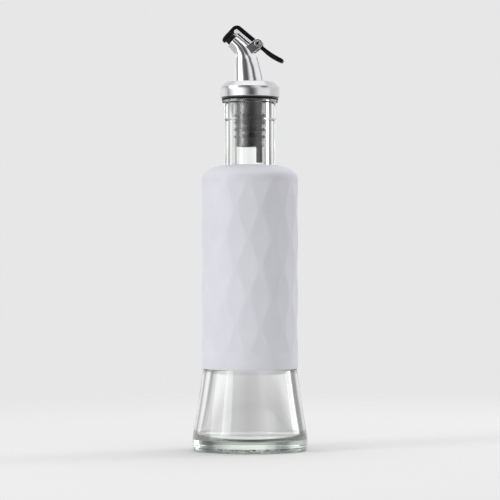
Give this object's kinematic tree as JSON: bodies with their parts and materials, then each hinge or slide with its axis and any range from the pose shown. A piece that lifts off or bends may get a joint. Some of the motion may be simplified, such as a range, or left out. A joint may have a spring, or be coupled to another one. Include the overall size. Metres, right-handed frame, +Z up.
{
  "type": "oil cruet",
  "caption": "Flared glass oil bottle with a diamond-relief grip sleeve and a lift-out metal pourer whose thumb lever opens a spring-closed mouth cap.",
  "frame": {"origin": "centre of the bottle's base, on the surface that it stands on", "axes": "+Z up along the bottle's axis, -X towards the spout's mouth, +X towards the thumb lever"},
  "size_m": [0.0716, 0.0716, 0.2642],
  "materials": {
    "clear_glass": "clear, faintly green where it is thick",
    "pale_silicone": "matte silicone, pale grey with a cool tint",
    "black_rubber": "black, soft sheen",
    "satin_steel": "satin, brushed round",
    "polished_chrome": "polished",
    "bracket_steel": "bright sheet steel",
    "spring_steel": "drawn wire",
    "black_plastic": "black, satin",
    "grey_plastic": "dark grey"
  },
  "bodies": {
    "bottle": {"glass_bottle": "clear_glass", "grip_sleeve": "pale_silicone"},
    "gasket": {"rim_gasket": "black_rubber"},
    "pourer": {"stopper": "black_rubber", "breather_tube": "grey_plastic", "collar": "satin_steel", "spout": "polished_chrome", "vent_tube": "polished_chrome", "pivot_bracket": "bracket_steel", "pivot_pin": "bracket_steel", "return_spring": "spring_steel"},
    "lever": {"lever": "black_plastic", "arm_strip": "polished_chrome", "mouth_seal": "black_rubber"}
  },
  "joints": [
    {"name": "pourer_lift", "type": "slide", "parent": "bottle", "child": "gasket", "axis": [0, 0, 1], "range_m": [0, 0.05]},
    {"name": "pourer_turn", "type": "hinge", "parent": "gasket", "child": "pourer", "pos_m": [0, 0, 0.2178], "axis": [0, 0, 1], "continuous": true},
    {"name": "lever_press", "type": "hinge", "parent": "pourer", "child": "lever", "pos_m": [0.0052, 0, 0.25265], "axis": [0, 1, 0], "range_deg": [0, 35], "stiffness_Nm_per_rad": 0.02, "springref_deg": -51.57, "deforming": ["return_spring"]}
  ]
}
